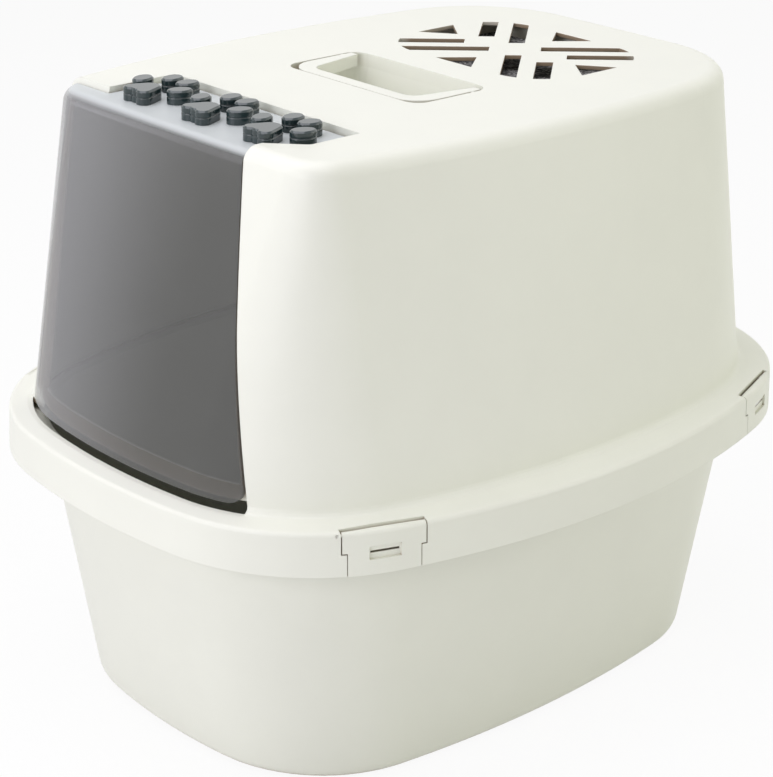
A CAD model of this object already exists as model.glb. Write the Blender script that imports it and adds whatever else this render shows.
import math
import bmesh
import bpy
from mathutils import Matrix, Vector, noise


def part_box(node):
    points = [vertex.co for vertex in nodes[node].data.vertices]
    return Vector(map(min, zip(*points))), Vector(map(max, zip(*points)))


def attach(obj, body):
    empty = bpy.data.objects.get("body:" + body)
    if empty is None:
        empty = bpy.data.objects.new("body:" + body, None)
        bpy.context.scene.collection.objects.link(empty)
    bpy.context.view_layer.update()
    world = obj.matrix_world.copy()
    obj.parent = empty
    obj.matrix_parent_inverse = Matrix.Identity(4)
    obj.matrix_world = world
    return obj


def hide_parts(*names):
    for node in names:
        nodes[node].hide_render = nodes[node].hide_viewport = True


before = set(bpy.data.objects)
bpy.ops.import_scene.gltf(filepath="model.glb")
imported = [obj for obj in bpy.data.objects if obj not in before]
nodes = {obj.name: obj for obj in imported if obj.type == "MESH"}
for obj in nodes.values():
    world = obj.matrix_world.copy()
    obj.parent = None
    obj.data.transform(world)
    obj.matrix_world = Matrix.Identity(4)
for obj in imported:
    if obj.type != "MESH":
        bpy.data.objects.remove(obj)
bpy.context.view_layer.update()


# The view is that of a studio picture taken from the front right corner and a little above.
# The lens is long, so the sides of the box stay almost parallel.
VIEW_AZIMUTH = math.radians(47.03)
VIEW_ELEVATION = math.radians(22.25)
VIEW_ROLL = math.radians(1.13)
VIEW_DISTANCE = 1.6707
VIEW_SHIFT_LEFT = 0.01008
VIEW_HEIGHT = 0.20236
LENS_MM = 104.06
SENSOR_MM = 36.0

view_right = Vector((math.cos(VIEW_AZIMUTH), math.sin(VIEW_AZIMUTH), 0.0))
view_back = Vector((
    math.sin(VIEW_AZIMUTH) * math.cos(VIEW_ELEVATION),
    -math.cos(VIEW_AZIMUTH) * math.cos(VIEW_ELEVATION),
    math.sin(VIEW_ELEVATION),
))
view_up = view_back.cross(view_right)
aim = Vector((0.0, 0.0, VIEW_HEIGHT)) - view_right * VIEW_SHIFT_LEFT
rolled_right = view_right * math.cos(VIEW_ROLL) + view_up * math.sin(VIEW_ROLL)
rolled_up = view_up * math.cos(VIEW_ROLL) - view_right * math.sin(VIEW_ROLL)
camera_turn = Matrix((rolled_right, rolled_up, view_back)).transposed().to_4x4()
camera_data = bpy.data.cameras.new("camera")
camera_data.lens = LENS_MM
camera_data.sensor_width = SENSOR_MM
camera = bpy.data.objects.new("camera", camera_data)
camera.matrix_world = Matrix.Translation(aim + view_back * VIEW_DISTANCE) @ camera_turn
bpy.context.scene.collection.objects.link(camera)
bpy.context.scene.camera = camera
bpy.context.scene.view_settings.view_transform = "Standard"


# The studio: a white table top that runs out of sight, a pale room, and soft boxes overhead,
# at the front and behind. They stand in for the lamps of the picture.
FLOOR_HALF = 12.0
FLOOR_DROP = 0.0004
FLOOR_WHITE = (0.93, 0.93, 0.93, 1.0)
BACKGROUND_SHARE = 0.92
ROOM_COLOUR = (0.996, 1.0, 0.89, 1.0)
ROOM_STRENGTH = 0.24
KEY_COLOUR = (0.933, 0.913, 1.0)
FILL_COLOUR = (0.996, 1.0, 0.89)
LAMP_AIM_HEIGHT = 0.27
# Each lamp's name, place, width in metres, power in watts and colour
LAMPS = (
    ("lamp_overhead", (-0.3, -0.3, 2.2), 2.0, 29.6, KEY_COLOUR),
    ("lamp_front", (0.5, -2.6, 1.1), 1.4, 28.0, KEY_COLOUR),
    ("lamp_front_left", (-1.6, -1.9, 1.2), 1.4, 8.4, KEY_COLOUR),
    ("lamp_back_right", (2.0, 1.6, 1.0), 1.4, 17.0, FILL_COLOUR),
    ("lamp_back", (0.4, 2.0, 2.0), 1.4, 3.0, FILL_COLOUR),
)


def add_node(tree, kind, **settings):
    """New node in a tree, with its properties set by name."""
    node = tree.nodes.new(kind)
    for name, value in settings.items():
        setattr(node, name, value)
    return node


def seen_directly(tree):
    """Value that is 1 for rays from the camera, from mirror surfaces and through glass."""
    path = add_node(tree, "ShaderNodeLightPath")
    first = add_node(tree, "ShaderNodeMath", operation="MAXIMUM")
    second = add_node(tree, "ShaderNodeMath", operation="MAXIMUM")
    tree.links.new(path.outputs["Is Camera Ray"], first.inputs[0])
    tree.links.new(path.outputs["Is Glossy Ray"], first.inputs[1])
    tree.links.new(first.outputs[0], second.inputs[0])
    tree.links.new(path.outputs["Is Transmission Ray"], second.inputs[1])
    return second.outputs[0]


def make_floor():
    """Wide white sheet under the box that keeps the box's soft shadow."""
    mesh = bpy.data.meshes.new("studio_floor")
    corners = [(-FLOOR_HALF, -FLOOR_HALF, 0), (FLOOR_HALF, -FLOOR_HALF, 0)]
    corners += [(FLOOR_HALF, FLOOR_HALF, 0), (-FLOOR_HALF, FLOOR_HALF, 0)]
    mesh.from_pydata(corners, [], [(0, 1, 2, 3)])
    floor = bpy.data.objects.new("studio_floor", mesh)
    floor.location.z = -FLOOR_DROP
    bpy.context.scene.collection.objects.link(floor)
    material = bpy.data.materials.new("studio_white")
    material.use_nodes = True
    tree = material.node_tree
    tree.nodes.clear()
    paper = add_node(tree, "ShaderNodeBsdfDiffuse")
    paper.inputs["Color"].default_value = FLOOR_WHITE
    glow = add_node(tree, "ShaderNodeEmission")
    glow.inputs["Color"].default_value = (1, 1, 1, 1)
    share = add_node(tree, "ShaderNodeMath", operation="MULTIPLY")
    share.inputs[1].default_value = BACKGROUND_SHARE
    mix = add_node(tree, "ShaderNodeMixShader")
    result = add_node(tree, "ShaderNodeOutputMaterial")
    tree.links.new(seen_directly(tree), share.inputs[0])
    tree.links.new(share.outputs[0], mix.inputs[0])
    tree.links.new(paper.outputs[0], mix.inputs[1])
    tree.links.new(glow.outputs[0], mix.inputs[2])
    tree.links.new(mix.outputs[0], result.inputs["Surface"])
    floor.data.materials.append(material)


def make_room():
    """World light: a soft pale room for the object, plain white where it is seen."""
    world = bpy.data.worlds.new("studio_room")
    world.use_nodes = True
    tree = world.node_tree
    tree.nodes.clear()
    room = add_node(tree, "ShaderNodeBackground")
    room.inputs["Color"].default_value = ROOM_COLOUR
    room.inputs["Strength"].default_value = ROOM_STRENGTH
    white = add_node(tree, "ShaderNodeBackground")
    white.inputs["Color"].default_value = (1, 1, 1, 1)
    mix = add_node(tree, "ShaderNodeMixShader")
    result = add_node(tree, "ShaderNodeOutputWorld")
    tree.links.new(seen_directly(tree), mix.inputs[0])
    tree.links.new(room.outputs[0], mix.inputs[1])
    tree.links.new(white.outputs[0], mix.inputs[2])
    tree.links.new(mix.outputs[0], result.inputs["Surface"])
    bpy.context.scene.world = world


def soft_box(name, place, width, power, colour):
    """Square lamp that faces the middle of the box."""
    lamp = bpy.data.lights.new(name, "AREA")
    lamp.shape = "SQUARE"
    lamp.size = width
    lamp.energy = power
    lamp.color = colour
    holder = bpy.data.objects.new(name, lamp)
    holder.location = place
    aim_line = Vector((0.0, 0.0, LAMP_AIM_HEIGHT)) - Vector(place)
    holder.rotation_euler = aim_line.to_track_quat("-Z", "Y").to_euler()
    bpy.context.scene.collection.objects.link(holder)


make_floor()
make_room()
for lamp_row in LAMPS:
    soft_box(*lamp_row)


# The tub is one deep tray, moulded in warm white plastic with a fine satin grain. It stands
# flat on the floor, and its rim turns out and down so that the hood's skirt can cover it.
TUB_WHITE = (0.84, 0.85, 0.76, 1.0)
GAP_BROWN = (0.30, 0.20, 0.10, 1.0)
PLASTIC_ROUGHNESS = 0.42
ROUGHNESS_SPREAD = (-0.04, 0.06)
PLASTIC_SHADES = (0.975, 1.02)
PLASTIC_WAVINESS = 2.0
PLASTIC_GRAIN = 0.00045
PLASTIC_RELIEF = 0.00002
SOFT_EDGE = 0.0007
GRAIN_STRENGTH = 0.35
PIT_DETAIL = 3.0
WAVE_SCALE = 9.0
WAVE_DETAIL = 1.0
MOTTLE_SCALE = 24.0
MOTTLE_DETAIL = 4.0
GAP_REACH = 0.012
GAP_START = 0.55
GAP_FULL = 0.02


def new_group(name, inputs, outputs):
    """Empty node group with named sockets, each given as (name, kind)."""
    group = bpy.data.node_groups.new(name, "ShaderNodeTree")
    for label, kind in inputs:
        group.interface.new_socket(label, in_out="INPUT", socket_type=kind)
    for label, kind in outputs:
        group.interface.new_socket(label, in_out="OUTPUT", socket_type=kind)
    return group, group.nodes.new("NodeGroupInput"), group.nodes.new("NodeGroupOutput")


def make_grain_group():
    """Spark-eroded mould grain, in metres: fine pits and a slow waviness, with a soft mottle."""
    group, given, result = new_group(
        "mould_grain",
        [("Grain Size", "NodeSocketFloat"), ("Waviness", "NodeSocketFloat")],
        [("Height", "NodeSocketFloat"), ("Mottle", "NodeSocketFloat")],
    )
    place = add_node(group, "ShaderNodeTexCoord")
    pitch = add_node(group, "ShaderNodeMath", operation="DIVIDE")
    pitch.inputs[0].default_value = 1.0
    pits = add_node(group, "ShaderNodeTexNoise")
    pits.inputs["Detail"].default_value = PIT_DETAIL
    waves = add_node(group, "ShaderNodeTexNoise")
    waves.inputs["Scale"].default_value = WAVE_SCALE
    waves.inputs["Detail"].default_value = WAVE_DETAIL
    mottle = add_node(group, "ShaderNodeTexNoise")
    mottle.inputs["Scale"].default_value = MOTTLE_SCALE
    mottle.inputs["Detail"].default_value = MOTTLE_DETAIL
    swell = add_node(group, "ShaderNodeMath", operation="MULTIPLY")
    total = add_node(group, "ShaderNodeMath", operation="ADD")
    link = group.links.new
    link(given.outputs["Grain Size"], pitch.inputs[1])
    link(pitch.outputs[0], pits.inputs["Scale"])
    for texture in (pits, waves, mottle):
        link(place.outputs["Object"], texture.inputs["Vector"])
    link(waves.outputs["Fac"], swell.inputs[0])
    link(given.outputs["Waviness"], swell.inputs[1])
    link(pits.outputs["Fac"], total.inputs[0])
    link(swell.outputs[0], total.inputs[1])
    link(total.outputs[0], result.inputs["Height"])
    link(mottle.outputs["Fac"], result.inputs["Mottle"])
    return group


def make_gap_group():
    """Mask of narrow gaps and inside corners, 1 where little light gets in."""
    group, given, result = new_group(
        "gap_shade",
        [("Reach", "NodeSocketFloat"), ("Start", "NodeSocketFloat")],
        [("Gap", "NodeSocketFloat")],
    )
    hidden = add_node(group, "ShaderNodeAmbientOcclusion", samples=8)
    closed = add_node(group, "ShaderNodeMapRange", interpolation_type="SMOOTHSTEP")
    closed.inputs["From Max"].default_value = GAP_FULL
    link = group.links.new
    link(given.outputs["Reach"], hidden.inputs["Distance"])
    link(hidden.outputs["AO"], closed.inputs["Value"])
    link(given.outputs["Start"], closed.inputs["From Min"])
    link(closed.outputs["Result"], result.inputs["Gap"])
    return group


mould_grain = make_grain_group()
gap_shade = make_gap_group()


def place_group(tree, group, **values):
    """Group node in a tree; underscores in the given names stand for spaces."""
    node = add_node(tree, "ShaderNodeGroup", node_tree=group)
    for name, value in values.items():
        node.inputs[name.replace("_", " ")].default_value = value
    return node


def blend_colours(tree, share, first, second):
    """Colour between two others, by a mask. Each colour may be a socket or four numbers."""
    mix = add_node(tree, "ShaderNodeMix", data_type="RGBA")
    factor = [s for s in mix.inputs if s.type == "VALUE" and s.enabled][0]
    colours = [s for s in mix.inputs if s.type == "RGBA"]
    tree.links.new(share, factor)
    for socket, value in zip(colours, (first, second)):
        if isinstance(value, tuple):
            socket.default_value = value
        else:
            tree.links.new(value, socket)
    return [s for s in mix.outputs if s.type == "RGBA"][0]


def shade(colour, share):
    """A colour scaled in strength, with full opacity."""
    return (colour[0] * share, colour[1] * share, colour[2] * share, 1.0)


def mottled(tree, skin, colour, shares):
    """A colour that varies between two of its shades with the mottle of the mould grain."""
    return blend_colours(tree, skin.outputs["Mottle"], *(shade(colour, share) for share in shares))


def span(tree, source, low, high):
    """Value that runs evenly from low to high as a source value runs from 0 to 1."""
    node = add_node(tree, "ShaderNodeMapRange")
    node.inputs["To Min"].default_value = low
    node.inputs["To Max"].default_value = high
    tree.links.new(source, node.inputs["Value"])
    return node.outputs["Result"]


def new_material(name):
    """New material with its node tree and its shader."""
    material = bpy.data.materials.new(name)
    material.use_nodes = True
    tree = material.node_tree
    return material, tree, tree.nodes["Principled BSDF"]


def add_bump(tree, shader, height, strength, distance):
    """Relief on a shader's surface from a height value, with the bump node it comes from."""
    bump = add_node(tree, "ShaderNodeBump")
    bump.inputs["Strength"].default_value = strength
    bump.inputs["Distance"].default_value = distance
    tree.links.new(height, bump.inputs["Height"])
    tree.links.new(bump.outputs["Normal"], shader.inputs["Normal"])
    return bump


def moulded_plastic(name, colour, edge=SOFT_EDGE):
    """Satin moulded plastic: grain, faint mottle, soft edges and warm shade in the gaps."""
    material, tree, shader = new_material(name)
    skin = place_group(tree, mould_grain, Grain_Size=PLASTIC_GRAIN, Waviness=PLASTIC_WAVINESS)
    gap = place_group(tree, gap_shade, Reach=GAP_REACH, Start=GAP_START)
    body = mottled(tree, skin, colour, PLASTIC_SHADES)
    tinted = blend_colours(tree, gap.outputs["Gap"], body, GAP_BROWN)
    tree.links.new(tinted, shader.inputs["Base Color"])
    low, high = (PLASTIC_ROUGHNESS + offset for offset in ROUGHNESS_SPREAD)
    roughness = span(tree, skin.outputs["Mottle"], low, high)
    tree.links.new(roughness, shader.inputs["Roughness"])
    rounded = add_node(tree, "ShaderNodeBevel", samples=6)
    rounded.inputs["Radius"].default_value = edge
    bump = add_bump(tree, shader, skin.outputs["Height"], GRAIN_STRENGTH, PLASTIC_RELIEF)
    tree.links.new(rounded.outputs["Normal"], bump.inputs["Normal"])
    return material


def dress(node_name, material):
    """Give a construction part its one finish."""
    mesh = nodes[node_name].data
    mesh.materials.clear()
    mesh.materials.append(material)


dress("litter_tub", moulded_plastic("tub_plastic", TUB_WHITE))


# The hood is moulded in warm white plastic, a shade lighter than the tub. Its skirt drops over
# the tub's rim, and its top holds the handle's recess and the filter's grille, whose cut walls
# look brown in the picture.
HOOD_WHITE = (0.88, 0.89, 0.80, 1.0)
SLOT_BROWN = (0.33, 0.25, 0.17, 1.0)
GRILLE_REACH = (0.095, 0.080)
SLOT_TURN = (0.75, 0.45)
SLOT_HEIGHTS = (0.4385, 0.4395)


def ramp(tree, source, start, end):
    """Value that runs smoothly from 0 at start to 1 at end of a source value."""
    node = add_node(tree, "ShaderNodeMapRange", interpolation_type="SMOOTHSTEP")
    node.inputs["From Min"].default_value = start
    node.inputs["From Max"].default_value = end
    tree.links.new(source, node.inputs["Value"])
    return node.outputs["Result"]


def stain_slots(material):
    """Brown stain on the upright walls of the grille's cuts."""
    tree = material.node_tree
    shader = tree.nodes["Principled BSDF"]
    plain = shader.inputs["Base Color"].links[0].from_socket
    low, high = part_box("charcoal_filter")
    place = add_node(tree, "ShaderNodeTexCoord")
    facing = add_node(tree, "ShaderNodeSeparateXYZ")
    level = add_node(tree, "ShaderNodeSeparateXYZ")
    distance = add_node(tree, "ShaderNodeVectorMath", operation="DISTANCE")
    distance.inputs[1].default_value = ((low.x + high.x) / 2, (low.y + high.y) / 2, high.z)
    tree.links.new(place.outputs["Object"], distance.inputs[0])
    tree.links.new(place.outputs["Object"], level.inputs[0])
    tree.links.new(place.outputs["Normal"], facing.inputs[0])
    share = ramp(tree, distance.outputs["Value"], *GRILLE_REACH)
    for mask in (
        ramp(tree, facing.outputs["Z"], *SLOT_TURN),
        ramp(tree, level.outputs["Z"], *SLOT_HEIGHTS),
    ):
        both = add_node(tree, "ShaderNodeMath", operation="MULTIPLY")
        tree.links.new(share, both.inputs[0])
        tree.links.new(mask, both.inputs[1])
        share = both.outputs[0]
    stained = blend_colours(tree, share, plain, SLOT_BROWN)
    tree.links.new(stained, shader.inputs["Base Color"])


hood_plastic = moulded_plastic("hood_plastic", HOOD_WHITE)
stain_slots(hood_plastic)
dress("hood_shell", hood_plastic)


# The clips are cut from the skirt's own curve, in the same plastic. Each turns on two stub
# pins at its upper edge, and a finger pulls it out by the recess in its middle.
CLIP_WHITE = (0.87, 0.88, 0.79, 1.0)
CLIP_EDGE = 0.0005
clip_plastic = moulded_plastic("clip_plastic", CLIP_WHITE, CLIP_EDGE)
for clip in ("clip_front_right", "clip_front_left", "clip_rear_right", "clip_rear_left"):
    dress(clip, clip_plastic)


# The carry handle lies flush in its recess, a flat bow in the hood's plastic with rounded
# edges, and swings up on stub pins in the recess's side walls.
HANDLE_EDGE = 0.001
dress("carry_handle", moulded_plastic("handle_plastic", HOOD_WHITE, HANDLE_EDGE))


# The flap is one thin shell of clear smoke-grey plastic with a polished front. It is milkier
# toward its left side and on its finely frosted top panel, and clear enough at its foot that
# the doorway's stop shows through.
SMOKE_TINT = (0.140, 0.142, 0.134, 1.0)
SMOKE_MILKY = (0.405, 0.410, 0.415, 1.0)
SMOKE_FROSTED = (0.69, 0.73, 0.725, 1.0)
SMOKE_COVER = 0.50
SMOKE_COVER_FROSTED = 0.88
MILKY_RUN = (0.055, -0.150)
CORNER_TURN = (-0.25, -0.80)
FROST_HEIGHTS = (0.4345, 0.4392)
POLISHED_ROUGHNESS = 0.10
FROSTED_ROUGHNESS = 0.42
SMOKE_SHADES = (0.94, 1.06)
SMOKE_IOR = 1.6
SMOKE_WAVE_SIZE = 0.03
SMOKE_WAVINESS = 0.5
SMOKE_RELIEF_STRENGTH = 0.05
SMOKE_RELIEF = 0.0002


def smoke_plastic():
    """Clear grey plastic with a polished face, a milky left part and a frosted top panel."""
    material, tree, shader = new_material("smoke_plastic")
    skin = place_group(tree, mould_grain, Grain_Size=SMOKE_WAVE_SIZE, Waviness=SMOKE_WAVINESS)
    place = add_node(tree, "ShaderNodeTexCoord")
    facing = add_node(tree, "ShaderNodeSeparateXYZ")
    level = add_node(tree, "ShaderNodeSeparateXYZ")
    tree.links.new(place.outputs["Normal"], facing.inputs[0])
    tree.links.new(place.outputs["Object"], level.inputs[0])
    milky = ramp(tree, level.outputs["X"], *MILKY_RUN)
    corner = ramp(tree, facing.outputs["X"], *CORNER_TURN)
    frost = ramp(tree, level.outputs["Z"], *FROST_HEIGHTS)
    clear = mottled(tree, skin, SMOKE_TINT, SMOKE_SHADES)
    sheet = blend_colours(tree, milky, clear, SMOKE_MILKY)
    sheet = blend_colours(tree, corner, sheet, clear)
    tint = blend_colours(tree, frost, sheet, SMOKE_FROSTED)
    tree.links.new(tint, shader.inputs["Base Color"])
    cover = span(tree, frost, SMOKE_COVER, SMOKE_COVER_FROSTED)
    roughness = span(tree, frost, POLISHED_ROUGHNESS, FROSTED_ROUGHNESS)
    tree.links.new(cover, shader.inputs["Alpha"])
    tree.links.new(roughness, shader.inputs["Roughness"])
    shader.inputs["IOR"].default_value = SMOKE_IOR
    add_bump(tree, shader, skin.outputs["Height"], SMOKE_RELIEF_STRENGTH, SMOKE_RELIEF)
    return material


dress("front_flap", smoke_plastic())


# The paw prints are raised pads of dark teal-grey plastic with a high gloss, fused to the
# flap's top panel. Each is a lobed pad and four toes with flat tops and rounded edges, and the
# line where the mould's halves met runs round its waist.
PAW_TEAL = (0.020, 0.036, 0.038, 1.0)
PAW_SHADES = (0.8, 1.3)
PAW_ROUGHNESS = 0.09
PAW_COAT = 0.35
PAW_COAT_ROUGHNESS = 0.03
PAW_GRAIN = 0.002
PAW_RELIEF_STRENGTH = 0.1
PAW_RELIEF = 0.0001
PAW_WAIST = 0.4441
PAW_LINE_HALF = 0.0005
PAW_LINE_DEPTH = 0.0006
PAW_ROUNDING = 0.0011
PAW_BEVEL_STEPS = 3
PAW_FLAT_ANGLE = math.radians(0.5)
PAW_BEVEL_ANGLE = math.radians(38)
PAW_SMOOTH_ANGLE = math.radians(40)
WELD_DISTANCE = 0.00001


def paw_plastic():
    """Dark glossy plastic with a clear polished skin."""
    material, tree, shader = new_material("paw_plastic")
    skin = place_group(tree, mould_grain, Grain_Size=PAW_GRAIN, Waviness=1.0)
    tree.links.new(mottled(tree, skin, PAW_TEAL, PAW_SHADES), shader.inputs["Base Color"])
    shader.inputs["Roughness"].default_value = PAW_ROUGHNESS
    shader.inputs["Coat Weight"].default_value = PAW_COAT
    shader.inputs["Coat Roughness"].default_value = PAW_COAT_ROUGHNESS
    add_bump(tree, shader, skin.outputs["Height"], PAW_RELIEF_STRENGTH, PAW_RELIEF)
    return material


def make_paw(node_name, material):
    """Paw print with rounded edges and a waist line, in the place of the plain one."""
    build = bmesh.new()
    build.from_mesh(nodes[node_name].data)
    bmesh.ops.remove_doubles(build, verts=build.verts, dist=WELD_DISTANCE)
    bmesh.ops.dissolve_limit(
        build, angle_limit=PAW_FLAT_ANGLE, verts=build.verts, edges=build.edges
    )
    for height in (PAW_WAIST - PAW_LINE_HALF, PAW_WAIST, PAW_WAIST + PAW_LINE_HALF):
        everything = list(build.verts) + list(build.edges) + list(build.faces)
        bmesh.ops.bisect_plane(build, geom=everything, plane_co=(0, 0, height), plane_no=(0, 0, 1))
    build.normal_update()
    for vertex in build.verts:
        if abs(vertex.co.z - PAW_WAIST) < PAW_LINE_HALF / 4:
            outward = Vector((vertex.normal.x, vertex.normal.y, 0.0)).normalized()
            vertex.co -= outward * PAW_LINE_DEPTH
    name = node_name.replace("print", "relief")
    mesh = bpy.data.meshes.new(name)
    build.to_mesh(mesh)
    build.free()
    for face in mesh.polygons:
        face.use_smooth = True
    mesh.set_sharp_from_angle(angle=PAW_SMOOTH_ANGLE)
    mesh.materials.clear()
    mesh.materials.append(material)
    paw = bpy.data.objects.new(name, mesh)
    bpy.context.scene.collection.objects.link(paw)
    rounding = paw.modifiers.new("rounded_edges", "BEVEL")
    rounding.width = PAW_ROUNDING
    rounding.segments = PAW_BEVEL_STEPS
    rounding.limit_method = "ANGLE"
    rounding.angle_limit = PAW_BEVEL_ANGLE
    paw.modifiers.new("even_shading", "WEIGHTED_NORMAL").keep_sharp = True
    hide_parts(node_name)
    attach(paw, "flap")


paw_gloss = paw_plastic()
for paw_name in ("paw_print_left", "paw_print_middle", "paw_print_right"):
    make_paw(paw_name, paw_gloss)


# The filter holder is a thin frame with bars, moulded in white, that carries the pad in the
# pocket under the grille. Little light reaches it.
dress("filter_holder", moulded_plastic("holder_plastic", CLIP_WHITE))


# The filter pad is a mat of matted synthetic fibre with charcoal grains in it, cut to fit the
# holder and a little puffed between the grille and the bars.
PAD_CELL = 0.0018
PAD_PUFF = 0.0006
PAD_TUFT = 0.0011
PAD_TUFT_SHARE = 0.4
PAD_SOFT_EDGE = 0.0025
PAD_CLEARANCE = 0.0008
# The fine and the coarse tufts, each as noise cells per metre and share
PAD_TUFTS = ((700, 0.6), (260, 0.4))
FIBRE_SCALE = 260.0
FIBRE_DETAIL = 6.0
FIBRE_DISTORTION = 1.5
FIBRE_CONTRAST = (0.42, 0.66)
SPECK_SCALE = 420.0
SPECK_STRENGTH = 0.8
SPECK_RELIEF = 0.0008
PAD_ROUGHNESS = 0.9
CHARCOAL_DARK = (0.05, 0.05, 0.05, 1.0)
CHARCOAL_PALE = (0.42, 0.42, 0.40, 1.0)


def charcoal_mat():
    """Fibre with charcoal: dark matted threads with paler strands and specks."""
    material, tree, shader = new_material("filter_foam")
    place = add_node(tree, "ShaderNodeTexCoord")
    specks = add_node(tree, "ShaderNodeTexVoronoi", feature="F1")
    specks.inputs["Scale"].default_value = SPECK_SCALE
    fibres = add_node(tree, "ShaderNodeTexNoise")
    fibres.inputs["Scale"].default_value = FIBRE_SCALE
    fibres.inputs["Detail"].default_value = FIBRE_DETAIL
    fibres.inputs["Distortion"].default_value = FIBRE_DISTORTION
    for texture in (specks, fibres):
        tree.links.new(place.outputs["Object"], texture.inputs["Vector"])
    contrast = ramp(tree, fibres.outputs["Fac"], *FIBRE_CONTRAST)
    tint = blend_colours(tree, contrast, CHARCOAL_DARK, CHARCOAL_PALE)
    tree.links.new(tint, shader.inputs["Base Color"])
    shader.inputs["Roughness"].default_value = PAD_ROUGHNESS
    add_bump(tree, shader, specks.outputs["Distance"], SPECK_STRENGTH, SPECK_RELIEF)
    return material


def make_pad():
    """Puffed rectangular mat with soft edges and a tufted top, where the plain block is."""
    low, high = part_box("charcoal_filter")
    middle = (low + high) / 2
    half = (high - low) / 2 - Vector((PAD_CLEARANCE, PAD_CLEARANCE, 0.0))
    columns = int(2 * half.x / PAD_CELL)
    rows = int(2 * half.y / PAD_CELL)
    build = bmesh.new()
    sheets = []
    for side in (1, -1):
        sheet = []
        for row in range(rows + 1):
            line = []
            for column in range(columns + 1):
                x = (2 * column / columns - 1) * half.x
                y = (2 * row / rows - 1) * half.y
                inward = min(half.x - abs(x), half.y - abs(y))
                rise = math.sqrt(max(0.0, 1 - (1 - min(inward / PAD_SOFT_EDGE, 1.0)) ** 2))
                here = Vector((x, y, side))
                tuft = sum(noise.noise(here * scale) * share for scale, share in PAD_TUFTS)
                z = side * (half.z - PAD_TUFT) * rise + PAD_PUFF * rise * side
                z += side * tuft * PAD_TUFT * PAD_TUFT_SHARE * rise
                line.append(build.verts.new((middle.x + x, middle.y + y, middle.z + z)))
            sheet.append(line)
        sheets.append(sheet)
    top, bottom = sheets
    for row in range(rows):
        for column in range(columns):
            corners = [(row, column), (row, column + 1), (row + 1, column + 1), (row + 1, column)]
            build.faces.new([top[r][c] for r, c in corners])
            build.faces.new([bottom[r][c] for r, c in reversed(corners)])
    bmesh.ops.remove_doubles(build, verts=build.verts, dist=WELD_DISTANCE)
    bmesh.ops.recalc_face_normals(build, faces=build.faces)
    for face in build.faces:
        face.smooth = True
    mesh = bpy.data.meshes.new("filter_pad")
    build.to_mesh(mesh)
    build.free()
    pad = bpy.data.objects.new("filter_pad", mesh)
    bpy.context.scene.collection.objects.link(pad)
    mesh.materials.append(charcoal_mat())
    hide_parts("charcoal_filter")
    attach(pad, "hood")


make_pad()
